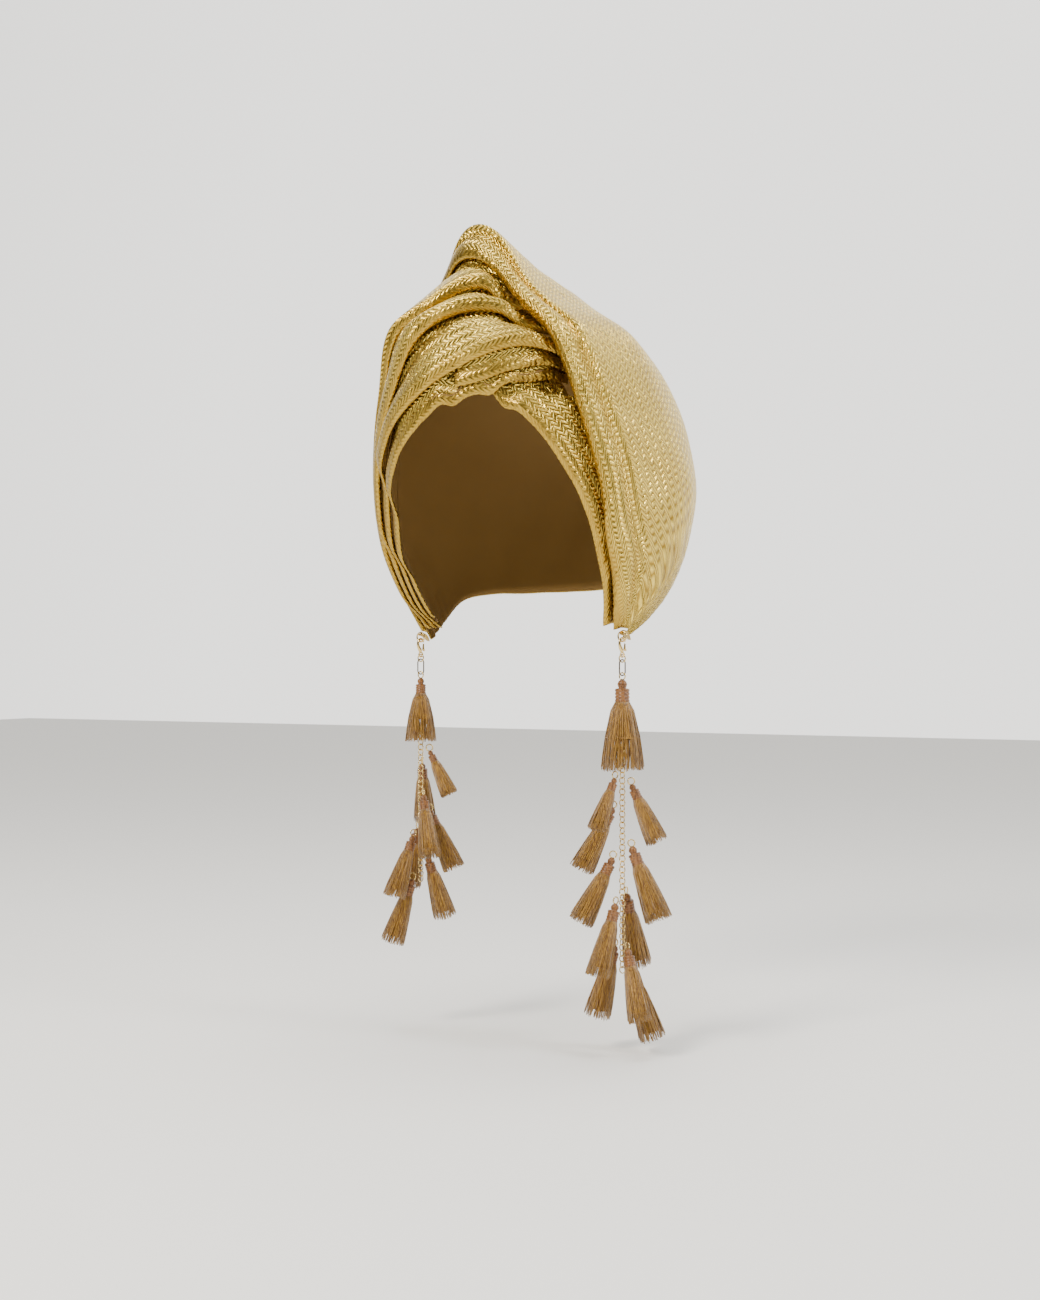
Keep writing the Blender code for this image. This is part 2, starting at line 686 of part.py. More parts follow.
def paint(item, finish):
    """Gives an object its own plain material."""
    colour, metal, rough = FINISHES[finish]
    material = bpy.data.materials.new(item.name)
    material.use_nodes = True
    shader = material.node_tree.nodes["Principled BSDF"]
    shader.inputs["Base Color"].default_value = (*colour, 1.0)
    shader.inputs["Metallic"].default_value = metal
    shader.inputs["Roughness"].default_value = rough
    item.data.materials.clear()
    item.data.materials.append(material)


def finish_of(name):
    """Finish that suits a node's name."""
    if name.startswith("tassel"):
        return "thread"
    if name.startswith("bail"):
        return "dark metal"
    if name.split("_")[0] in ("chain", "clasp", "link") or name.startswith("ear_ring"):
        return "pale metal"
    return "cloth"


def build():
    """Builds every node into the parts collection."""
    for item in list(bpy.data.objects):
        bpy.data.objects.remove(item)
    parts = bpy.data.collections.new("parts")
    cutters = bpy.data.collections.new("cutters")
    for collection in (parts, cutters):
        bpy.context.scene.collection.children.link(collection)
    for fold in make_folds():
        applied(fold_sheet(fold.name, fold.grid(), parts))
    for label, side, rows in (("left", 1, LEFT_TASSELS), ("right", -1, RIGHT_TASSELS)):
        make_ear_tab(label, side, parts, cutters)
        make_clasp(label, side, parts)
        make_chain(f"chain_{label}", side, rows, parts)
        for k, row in enumerate(rows, 1):
            make_tassel(f"tassel_{label}_{k:02d}", row, side, parts, k == 1)
    for item in parts.objects:
        paint(item, finish_of(item.name))


build()
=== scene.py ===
import logging
import math
from dataclasses import dataclass, field
from enum import Enum
from typing import NamedTuple

import bpy
import numpy as np
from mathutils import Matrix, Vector


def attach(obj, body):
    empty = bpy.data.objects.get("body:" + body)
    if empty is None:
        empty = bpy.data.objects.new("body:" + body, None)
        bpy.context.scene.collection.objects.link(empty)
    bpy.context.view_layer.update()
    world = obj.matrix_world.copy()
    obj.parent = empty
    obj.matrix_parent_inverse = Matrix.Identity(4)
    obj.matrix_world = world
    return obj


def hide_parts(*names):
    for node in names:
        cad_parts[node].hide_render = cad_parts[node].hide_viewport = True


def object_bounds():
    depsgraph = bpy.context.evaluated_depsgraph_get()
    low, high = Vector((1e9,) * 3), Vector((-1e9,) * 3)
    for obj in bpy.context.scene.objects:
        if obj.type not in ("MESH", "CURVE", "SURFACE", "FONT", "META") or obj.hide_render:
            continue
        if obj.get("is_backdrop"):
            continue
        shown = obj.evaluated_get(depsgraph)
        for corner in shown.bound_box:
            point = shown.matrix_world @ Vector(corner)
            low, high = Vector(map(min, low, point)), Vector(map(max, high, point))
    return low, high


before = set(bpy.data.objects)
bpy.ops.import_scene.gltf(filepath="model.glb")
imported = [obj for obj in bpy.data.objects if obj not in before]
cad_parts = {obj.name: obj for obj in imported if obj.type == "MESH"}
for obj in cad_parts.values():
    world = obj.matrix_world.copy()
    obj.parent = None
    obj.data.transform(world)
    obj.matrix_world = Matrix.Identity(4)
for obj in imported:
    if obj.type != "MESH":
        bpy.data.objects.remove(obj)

LOG = logging.getLogger("turban")
SEED = 7

# Sizes of the wrap, in metres and degrees
CROWN_HEIGHT = 0.132
EAR_LEVEL = 0.128
HALF_WIDTH = 0.099
FRONT_REACH = 0.102
BACK_REACH = 0.121
EGG = 0.10
CENTRE = np.array((0.0, 0.0, -EAR_LEVEL))
CLOTH = 0.0010
ROLL = 0.010
LEAST_ROLL = 0.0022
DEPTH = 0.014
LAYER_GAP = 0.0015
OVERLAP = 0.015
NOSE_MARGIN = 0.0015
END_MARGIN = 2.2
WIDE_LEVER = 0.045
FALL_REACH = 0.55
FALL_DEPTH = 0.30
TUCK_SHARES = (0.0, 0.5, 1.0)
TUCK_WINDOW = 1 / 3
COVER_SAMPLES = 7
NOSE_SPREAD = 0.6
LEVELLING = 3.0
HALVINGS = 26
NOSE_DEGREES = (-80.0, -35.0, 10.0, 50.0, 90.0)
HOOD_SHARES = (0.16, 0.28, 0.40, 0.52, 0.64, 0.76, 0.88, 1.0)
GROOVE_REACH = 2.1
RIDGE_REACH = 2.9
GROOVE_DEPTH = 0.35
CROWN_CROWDING = 0.45
ROUND_STEPS = 141
FINE_STEPS = 4
SMOOTH_PASSES = 3

# Sizes of the strings, in metres and degrees
EAR_POINTS = {"left": Vector((0.073685, -0.0025, -0.1218)), "right": Vector((-0.065982, -0.0025, -0.1218))}
STRING_TURN = math.radians(27.0)
CLASP_FACING = math.radians(62.0)
RING_FACING = math.radians(-10.0)
TASSEL_LENGTH = 0.056
TASSEL_HEM = 0.0205
TASSEL_STAND = 0.0055
FIRST_FLARE = 1.35
KNOB_RADIUS = 0.0031
WRAP_RADIUS = 0.0046
LOOP_RADIUS = 0.0021
CHAIN_HIDDEN = 0.70
CHAIN_TAIL = 0.07
LINK_PITCH = 0.00334
LINK_OUTER = 0.0047
LINK_WIRE = 0.00035
FINE_WIRE = 0.0004


class Section(NamedTuple):
    """Outline of the wrap at one height, as shares of the driving sizes."""

    height: float
    half: float
    shift: float
    front: float
    back: float


class Station(NamedTuple):
    """Place along a fold: degrees round and over the wrap, then crest and roll as shares."""

    around: float
    front: float
    crest: float
    roll: float


class Tassel(NamedTuple):
    """Tassel of a string: drop in metres, turn in degrees, slope of its lean, size as a share."""

    drop: float
    turn: float
    lean: float
    size: float


WRAP_SECTIONS = (
    Section(-1.00, 0.61, 0.02, 0.69, 0.50),
    Section(-0.925, 0.68, 0.03, 0.745, 0.595),
    Section(-0.835, 0.76, 0.04, 0.80, 0.70),
    Section(-0.695, 0.87, 0.04, 0.88, 0.835),
    Section(-0.465, 0.97, 0.04, 0.95, 0.94),
    Section(-0.23, 1.00, 0.05, 0.99, 1.00),
    Section(0.00, 0.96, 0.04, 1.00, 0.985),
    Section(0.23, 0.89, 0.03, 0.97, 0.85),
    Section(0.465, 0.78, -0.01, 0.92, 0.58),
    Section(0.60, 0.535, -0.02, 0.765, 0.38),
    Section(0.68, 0.415, -0.02, 0.665, 0.265),
    Section(0.765, 0.31, -0.02, 0.58, 0.13),
    Section(0.87, 0.22, -0.02, 0.48, -0.03),
    Section(0.93, 0.15, -0.02, 0.42, -0.09),
    Section(0.965, 0.06, -0.03, 0.34, -0.17),
)
HOOD = (
    Station(9, 112, 0.15, 0.20),
    Station(14, 113, 0.28, 0.32),
    Station(20, 114, 0.40, 0.45),
    Station(30, 115, 0.50, 0.65),
    Station(42, 116, 0.50, 0.80),
    Station(54, 113, 0.40, 0.80),
    Station(64, 111, 0.25, 0.75),
    Station(72, 109, 0.10, 0.70),
    Station(80, 106, 0.00, 0.60),
    Station(87, 103, 0.00, 0.55),
    Station(92, 102, 0.00, 0.50),
    Station(98, 99, 0.05, 0.35),
    Station(108, 96, 0.10, 0.25),
    Station(122, 95, 0.10, 0.25),
    Station(138, 96, 0.10, 0.25),
    Station(150, 98, 0.10, 0.22),
    Station(160, 101, 0.05, 0.18),
    Station(171, 105, 0.05, 0.16),
)
NAPE_HEM = (
    (9, 26), (20, 27), (36, 28), (54, 26), (72, 22), (90, 20), (108, 21), (122, 24), (138, 28), (171, 26)
)
PLEAT_TOP = (
    Station(79, 102, 0.90, 0.24),
    Station(83, 103.5, 0.50, 0.34),
    Station(86, 105.5, 0.25, 0.42),
    Station(90, 107.5, 0.10, 0.45),
    Station(96, 111.5, 0.05, 0.45),
    Station(104, 113, 0.05, 0.45),
    Station(118, 112, 0.05, 0.40),
    Station(134, 112, 0.10, 0.35),
    Station(150, 112, 0.15, 0.28),
    Station(162, 112, 0.20, 0.20),
    Station(168, 112, 0.25, 0.15),
)
PLEAT_UPPER = (
    Station(74, 102, 1.15, 0.24),
    Station(79, 105.8, 0.80, 0.33),
    Station(83, 109, 0.35, 0.42),
    Station(88, 112.5, 0.10, 0.46),
    Station(95, 116.5, 0.05, 0.48),
    Station(104, 118, 0.05, 0.48),
    Station(118, 117, 0.10, 0.42),
    Station(134, 117, 0.20, 0.34),
    Station(150, 117, 0.45, 0.25),
    Station(160, 117, 0.60, 0.18),
    Station(166, 117, 0.65, 0.15),
)
PLEAT_MIDDLE = (
    Station(70, 103.5, 1.50, 0.24),
    Station(75, 108.5, 1.05, 0.32),
    Station(79, 114, 0.55, 0.40),
    Station(84, 119, 0.20, 0.40),
    Station(90, 122, 0.10, 0.36),
    Station(98, 123.5, 0.05, 0.36),
    Station(108, 122.5, 0.10, 0.36),
    Station(120, 120, 0.20, 0.34),
    Station(134, 120.5, 0.50, 0.28),
    Station(148, 121, 0.80, 0.20),
    Station(158, 121, 0.98, 0.16),
    Station(164, 121, 1.00, 0.15),
)
BROW_ROLL = (
    Station(71, 104.5, 1.70, 0.15),
    Station(75.5, 111.5, 1.45, 0.17),
    Station(79.5, 118.5, 1.10, 0.20),
    Station(84, 120.5, 0.90, 0.22),
    Station(90, 123.5, 0.70, 0.24),
    Station(97, 125.5, 0.60, 0.26),
    Station(106, 125.5, 0.65, 0.28),
    Station(120, 123, 0.90, 0.28),
    Station(134, 123, 1.20, 0.24),
    Station(148, 123, 1.40, 0.18),
    Station(157, 123, 1.42, 0.15),
)
KNOT_BAND = (
    Station(69, 102, 1.85, 0.22),
    Station(75, 109.5, 1.40, 0.24),
    Station(78, 114.5, 1.05, 0.26),
    Station(81, 118, 0.70, 0.26),
    Station(84.5, 120.6, 0.60, 0.20),
    Station(87.5, 121.5, 0.85, 0.15),
)
TEMPLE_FLAP = (
    Station(12, 110, 0.85, 0.15),
    Station(18, 111, 1.05, 0.17),
    Station(28, 113, 1.45, 0.22),
    Station(40, 115.5, 1.65, 0.28),
    Station(52, 117, 1.60, 0.30),
    Station(62, 118, 1.45, 0.30),
    Station(70, 118.5, 1.35, 0.26),
    Station(75, 119, 1.30, 0.22),
    Station(79, 118.8, 1.30, 0.22),
    Station(83, 117.5, 1.45, 0.18),
    Station(88, 114.5, 1.70, 0.15),
)
TASSELS = {
    "left": (
        Tassel(0.0259, 0, 0.00, 0.98),
        Tassel(0.085, 215, 0.46, 0.60),
        Tassel(0.089, 10, 0.46, 0.68),
        Tassel(0.103, 168, 0.52, 0.76),
        Tassel(0.126, -12, 0.38, 0.84),
        Tassel(0.133, 176, 0.50, 0.78),
        Tassel(0.155, 62, 0.37, 0.86),
        Tassel(0.160, 222, 0.36, 0.80),
        Tassel(0.186, 140, 0.31, 0.82),
        Tassel(0.187, -60, 0.34, 0.78),
        Tassel(0.199, 20, 0.33, 0.82),
    ),
    "right": (
        Tassel(0.0259, 0, 0.00, 0.72),
        Tassel(0.0722, 0, 0.46, 0.55),
        Tassel(0.0805, 85, 0.38, 0.72),
        Tassel(0.100, -70, 0.38, 0.72),
        Tassel(0.110, 0, 0.43, 0.72),
        Tassel(0.122, 115, 0.36, 0.72),
        Tassel(0.126, 215, 0.38, 0.72),
        Tassel(0.140, 40, 0.36, 0.74),
        Tassel(0.154, 165, 0.34, 0.76),
    ),
}

# Clasp paths in its own plane, in millimetres: across, up, wire radius
HOOK_PATH = (
    (0.2, -9.7, 0.75), (-0.5, -8.4, 1.15), (-1.5, -6.4, 1.0), (-2.05, -4.4, 0.8),
    (-1.75, -2.6, 0.75), (-0.7, -1.35, 0.75), (0.7, -1.35, 0.72), (1.75, -2.3, 0.6), (2.0, -3.3, 0.45),
)
LEVER_PATH = ((2.9, -8.5, 0.55), (2.0, -7.9, 0.85), (1.95, -6.2, 0.6), (2.05, -4.2, 0.5))
EYE_DROP = 0.0111
EYE_RADIUS = 0.00135
SMALL_RING = 0.0022
EAR_RING = (0.0030, 0.0005)
BAIL = (0.0140, 0.0235, 0.0022)


def linear(code: str) -> tuple[float, float, float, float]:
    """Turns an sRGB hex colour into linear RGBA.

    Args:
        code: Six hex digits after a hash sign.

    Returns:
        Linear red, green, blue and full alpha.
    """
    parts = [int(code[i:i + 2], 16) / 255 for i in (1, 3, 5)]
    return (*[c / 12.92 if c <= 0.04045 else ((c + 0.055) / 1.055) ** 2.4 for c in parts], 1.0)


def pchip(xs, ys, x):
    """Monotone cubic through (xs, ys), read at the points x."""
    xs, ys, x = (np.asarray(values, float) for values in (xs, ys, x))
    step = np.diff(xs)
    slope = np.diff(ys) / step
    knot = np.concatenate([slope[:1], np.zeros(len(xs) - 2), slope[-1:]])
    for i in range(1, len(xs) - 1):
        if slope[i - 1] * slope[i] > 0:
            near, far = 2 * step[i] + step[i - 1], step[i] + 2 * step[i - 1]
            knot[i] = (near + far) / (near / slope[i - 1] + far / slope[i])
    i = np.clip(np.searchsorted(xs, x) - 1, 0, len(xs) - 2)
    t = np.clip((x - xs[i]) / step[i], 0, 1)
    start = (1 + 2 * t) * (1 - t) ** 2 * ys[i] + t * (1 - t) ** 2 * step[i] * knot[i]
    return start + t * t * (3 - 2 * t) * ys[i + 1] + t * t * (t - 1) * step[i] * knot[i + 1]


def rounded(points: np.ndarray, steps: int) -> np.ndarray:
    """Smooth curve through points, with a number of steps for each gap.

    Args:
        points: Rows of coordinates along the curve.
        steps: New rows for each gap between two points.

    Returns:
        The finer rows, ends included.
    """
    padded = np.concatenate([2 * points[:1] - points[1:2], points, 2 * points[-1:] - points[-2:-1]])
    rows = []
    for i in range(len(points) - 1):
        a, b, c, d = padded[i:i + 4]
        for t in np.arange(steps) / steps:
            rows.append(0.5 * (2 * b + (c - a) * t + (2 * a - 5 * b + 4 * c - d) * t * t
                               + (3 * b - a - 3 * c + d) * t ** 3))
    return np.array(rows + [points[-1]])


class Outline:
    """Outer form of the wrapped cloth, read as a distance from the middle between the ears."""

    def __init__(self) -> None:
        rows = np.array(WRAP_SECTIONS)
        self.heights = np.arange(rows[0, 0] * CROWN_HEIGHT, CROWN_HEIGHT, 0.001)
        sizes = (HALF_WIDTH, HALF_WIDTH, -FRONT_REACH, BACK_REACH)
        self.columns = [
            pchip(rows[:, 0] * CROWN_HEIGHT, rows[:, k + 1] * size, self.heights)
            for k, size in enumerate(sizes)
        ]

    def outside(self, points: np.ndarray) -> np.ndarray:
        """Above zero where a point lies outside the outline."""
        x, y, z = points.T
        half, shift, front, back = (np.interp(z, self.heights, column) for column in self.columns)
        share = (y - (front + back) / 2) / ((back - front) / 2)
        half = half * (1 + EGG * np.clip(share, -1, 1))
        level = ((x - shift) / half) ** 2 + share**2 - 1
        return np.where(z > self.heights[-1], 1.0, level)

    @staticmethod
    def directions(around, over) -> np.ndarray:
        """Unit vectors from the centre for angles in degrees."""
        phi, v = np.radians(around), np.radians(over)
        return np.stack([np.cos(phi), np.sin(phi) * np.cos(v), np.sin(phi) * np.sin(v)], axis=-1)

    def radius(self, around: np.ndarray, over: np.ndarray) -> np.ndarray:
        """Distance from the centre to the outline, in metres."""
        aim = self.directions(around, over)
        low, high = np.zeros(len(aim)), np.full(len(aim), 2 * (CROWN_HEIGHT + EAR_LEVEL))
        for _ in range(HALVINGS):
            middle = (low + high) / 2
            out = self.outside(CENTRE + aim * middle[:, None]) > 0
            low, high = np.where(out, low, middle), np.where(out, middle, high)
        return low


OUTLINE = Outline()


class Fold:
    """One strip of cloth round the wrap, which dives under the folds above it."""

    def __init__(self, name, table, above=(), overlap=OVERLAP, spread=0.0) -> None:
        self.name = name
        self.columns = np.array(table)
        self.overlap = overlap
        self.spread = spread
        self.above = above
        self.sections = {}

    def section(self, around: float):
        """Angles over the wrap and depths of the sheet where it crosses this angle round it."""
        key = round(float(around), 3)
        if key not in self.sections:
            self.sections[key] = self.worked_section(key)
        return self.sections[key]

    def worked_section(self, around: float):
        """Works out the section: the rolled nose, then the run to the rear."""
        front, crest, roll = (pchip(self.columns[:, 0], self.columns[:, k], around) for k in (1, 2, 3))
        lever = OUTLINE.radius(np.array([around]), np.array([front]))[0] * math.sin(math.radians(around))
        roll, crest = max(roll * ROLL, LEAST_ROLL), crest * DEPTH
        shoulder = front - math.degrees((roll + NOSE_MARGIN) / lever)
        crest = max(crest, self.cover(around, front, shoulder) + LAYER_GAP)
        turns = np.radians(NOSE_DEGREES)
        back = list(roll * (1 - np.cos(turns)))
        deep = list(crest + roll * (1 - np.sin(turns)))
        if self.above:
            self.dive(around, front, lever, back, deep)
        else:
            self.run_to_nape(around, front, lever, crest, roll, back, deep)
        return front - np.degrees(np.array(back) / lever), np.array(deep), crest + 2 * roll

    def run_to_nape(self, around, front, lever, crest, roll, back, deep) -> None:
        """Groove and ridge behind the roll, then an even run to the nape hem."""
        back += [GROOVE_REACH * roll, RIDGE_REACH * roll]
        deep += [crest + GROOVE_DEPTH * roll, crest]
        hem = np.array(NAPE_HEM)
        width = math.radians(front - pchip(hem[:, 0], hem[:, 1], around)) * lever
        start = back[-1]
        for share in HOOD_SHARES:
            back.append(start + (width - start) * share)
            deep.append(crest * (1 - min(1.0, LEVELLING * share)))

    def dive(self, around, front, lever, back, deep) -> None:
        """Falls from the crest to below the fold above, then runs on under it."""
        edges = [fold.section(around)[0].max() for fold in self.above if fold.reaches(around)]
        edge = max([over for over in edges if over < front] or [min(edges)])
        meet = max(math.radians(front - edge) * lever - NOSE_MARGIN, back[-1] + NOSE_MARGIN)
        crest, start = deep[-1], back[-1]
        reach = self.overlap * min(1.0, lever / WIDE_LEVER)
        window = math.degrees(reach * TUCK_WINDOW / lever)
        under = front - math.degrees(meet / lever)
        low = max(crest, self.cover(around, under + window / 2, under - window) + LAYER_GAP)
        back.append(start + (meet - start) * FALL_REACH)
        deep.append(crest + (low - crest) * FALL_DEPTH)
        for share in TUCK_SHARES:
            back.append(meet + reach * share)
            over = front - math.degrees(back[-1] / lever)
            deep.append(max(deep[-1], low, self.cover(around, over + window, over - window) + LAYER_GAP))

    def cover(self, around: float, first: float, last: float) -> float:
        """Greatest depth of the cloth above this fold between two angles over the wrap."""
        overs = np.linspace(first, last, COVER_SAMPLES)
        rounds = {around - self.spread, around, around + self.spread}
        places = [(near, over) for near in rounds for over in overs]
        return max((fold.floor(*place) for fold in self.above for place in places), default=-1.0)

    def reaches(self, around: float) -> bool:
        """Whether the fold is there at this angle round the wrap, or nearly so."""
        return self.columns[0, 0] - END_MARGIN <= around <= self.columns[-1, 0] + END_MARGIN

    def floor(self, around: float, over: float) -> float:
        """Depth of this fold's underside at a place."""
        if not self.reaches(around):
            return -1.0
        overs, deep, nose = self.section(min(max(around, self.columns[0, 0]), self.columns[-1, 0]))
        nose_end = len(NOSE_DEGREES) - 1
        front, rear = overs.max(), overs.min()
        margin = (front - overs[nose_end]) * NOSE_SPREAD
        if over > front + margin or over < rear - margin:
            return -1.0
        if over > min(overs[0], overs[nose_end]) - margin:
            return nose
        return float(np.interp(-over, -overs[nose_end:], deep[nose_end:])) + CLOTH

    def grid(self) -> np.ndarray:
        """Fine grid of points of the sheet, one row for each step round the wrap.

        Returns:
            Points as rows round the wrap, places across the sheet, coordinates.
        """
        share = np.linspace(0, 1, ROUND_STEPS)
        share += CROWN_CROWDING * np.sin(2 * np.pi * share) / (2 * np.pi)
        first, last = HOOD[0].around, HOOD[-1].around
        rounds = first + (last - first) * share
        inside = (rounds > self.columns[0, 0]) & (rounds < self.columns[-1, 0])
        rounds = np.concatenate([self.columns[:1, 0], rounds[inside], self.columns[-1:, 0]])
        rows = []
        for around in rounds:
            over, deep, _ = self.section(around)
            arounds = np.full(len(over), around)
            radius = OUTLINE.radius(arounds, over) - deep
            rows.append(CENTRE + self_directions(arounds, over) * radius[:, None])
        rows = np.array(rows)
        for _ in range(SMOOTH_PASSES):
            rows[1:-1] = rows[1:-1] * 0.5 + (rows[:-2] + rows[2:]) * 0.25
        fine = np.array([rounded(row, FINE_STEPS) for row in rows])
        return fine + self.gathers(fine, rounds)

    @staticmethod
    def gathers(fine: np.ndarray, rounds: np.ndarray) -> np.ndarray:
        """Small ripples where the cloth is drawn together towards the ears, and faint dents elsewhere."""
        aim = fine - CENTRE
        distance = np.linalg.norm(aim, axis=2, keepdims=True)
        aim /= distance
        across = np.concatenate([
            np.zeros((len(fine), 1)), np.cumsum(np.linalg.norm(np.diff(fine, axis=1), axis=2), axis=1)
        ], axis=1)
        ends = np.exp(-(rounds - 9) / 16) + np.exp(-(171 - rounds) / 16)
        ripple = 0.0011 * np.sin(2 * np.pi * across / 0.013 + rounds[:, None] * 0.03) * ends[:, None]
        dent = 0.0008 * np.sin(across * 70 + rounds[:, None] * 0.11) * np.sin(across * 23 - rounds[:, None] * 0.07)
        fade = np.clip(across / 0.02, 0, 1)
        return aim * ((ripple + dent) * fade)[:, :, None]


self_directions = Outline.directions


@dataclass
class Shape:
    """Mesh under construction: points, faces and a finish for each face."""

    points: list = field(default_factory=list)
    faces: list = field(default_factory=list)
    finishes: list = field(default_factory=list)

    def add(self, points, faces, finish: int = 0) -> None:
        """Adds points and the faces that join them.

        Args:
            points: Rows of coordinates.
            faces: Tuples of indices into those rows.
            finish: Index of the material of these faces.
        """
        base = len(self.points)
        self.points += [tuple(float(c) for c in point) for point in points]
        self.faces += [tuple(base + i for i in face) for face in faces]
        self.finishes += [finish] * len(faces)

    def tube(self, path, radii, normal, sides: int = 6, closed: bool = False, finish: int = 0) -> None:
        """Adds a round tube along a path that lies across a normal.

        Args:
            path: Points along the middle of the tube.
            radii: Radius at each point.
            normal: Direction that is never along the path.
            sides: Sides of the tube.
            closed: Whether the path ends where it starts.
            finish: Index of the material of the tube.
        """
        path = np.asarray([tuple(p) for p in path], float)
        normal = np.asarray(tuple(normal), float)
        if closed:
            along = np.roll(path, -1, 0) - np.roll(path, 1, 0)
        else:
            along = np.gradient(path, axis=0)
        along /= np.linalg.norm(along, axis=1)[:, None]
        side = np.cross(along, normal)
        side /= np.linalg.norm(side, axis=1)[:, None]
        other = np.cross(side, along)
        turns = 2 * np.pi * np.arange(sides) / sides
        radii = np.asarray(radii, float)
        rings = [
            path + (side * math.cos(t) + other * math.sin(t)) * radii[:, None] for t in turns
        ]
        points = np.stack(rings, axis=1).reshape(-1, 3)
        count = len(path)
        faces = []
        for i in range(count if closed else count - 1):
            j = (i + 1) % count
            for k in range(sides):
                m = (k + 1) % sides
                faces.append((i * sides + k, i * sides + m, j * sides + m, j * sides + k))
        if not closed:
            faces.append(tuple(reversed(range(sides))))
            faces.append(tuple((count - 1) * sides + k for k in range(sides)))
        self.add(points, faces, finish)

    def ring(self, centre, radius, wire, facing, finish: int = 0, steps: int = 24, stretch: float = 0.0) -> None:
        """Adds a round or long ring of wire in an upright plane.

        Args:
            centre: Middle of the ring.
            radius: Radius of the wire's middle line.
            wire: Radius of the wire.
            facing: Turn of the plane about Z, in radians.
            finish: Index of the material.
            steps: Points round the ring.
            stretch: Length of straight sides, in metres.
        """
        across = Vector((math.cos(facing), math.sin(facing), 0))
        path = []
        for k in range(steps):
            angle = 2 * math.pi * (k + 0.5) / steps
            lift = stretch / 2 if math.sin(angle) > 0 else -stretch / 2
            path.append(centre + across * radius * math.cos(angle) + Vector((0, 0, radius * math.sin(angle) + lift)))
        self.tube(path, [wire] * steps, (math.sin(facing), -math.cos(facing), 0), 8, True, finish)

    def object(self, name: str, materials, smooth: bool = True):
        """Makes the object.

        Args:
            name: Name of the piece.
            materials: Its materials, in the order of the finish indices.
            smooth: Whether the shading is smooth.

        Returns:
            The new object, in the scene.
        """
        mesh = bpy.data.meshes.new(name)
        mesh.from_pydata(self.points, [], self.faces)
        for material in materials:
            mesh.materials.append(material)
        mesh.polygons.foreach_set("material_index", self.finishes)
        mesh.polygons.foreach_set("use_smooth", [smooth] * len(self.faces))
        mesh.update()
        item = bpy.data.objects.new(name, mesh)
        bpy.context.scene.collection.objects.link(item)
        return item


def node(tree, kind: str, inputs=None, **settings):
    """Adds a shader node.

    Args:
        tree: Node tree.
        kind: Type name of the node.
        inputs: Values, or sockets to link, by input name or index.
        settings: Attributes of the node.

    Returns:
        The new node.
    """
    made = tree.nodes.new(kind)
    for key, value in settings.items():
        setattr(made, key, value)
    for key, value in (inputs or {}).items():
        if isinstance(value, bpy.types.NodeSocket):
            tree.links.new(value, made.inputs[key])
        else:
            made.inputs[key].default_value = value
    return made


def maths(tree, operation: str, *values):
    """Adds a math node and returns its output."""
    return node(tree, "ShaderNodeMath", dict(enumerate(values)), operation=operation).outputs[0]


def blank(name: str):
    """New material with its tree and Principled shader."""
    material = bpy.data.materials.new(name)
    material.use_nodes = True
    return material, material.node_tree, material.node_tree.nodes["Principled BSDF"]


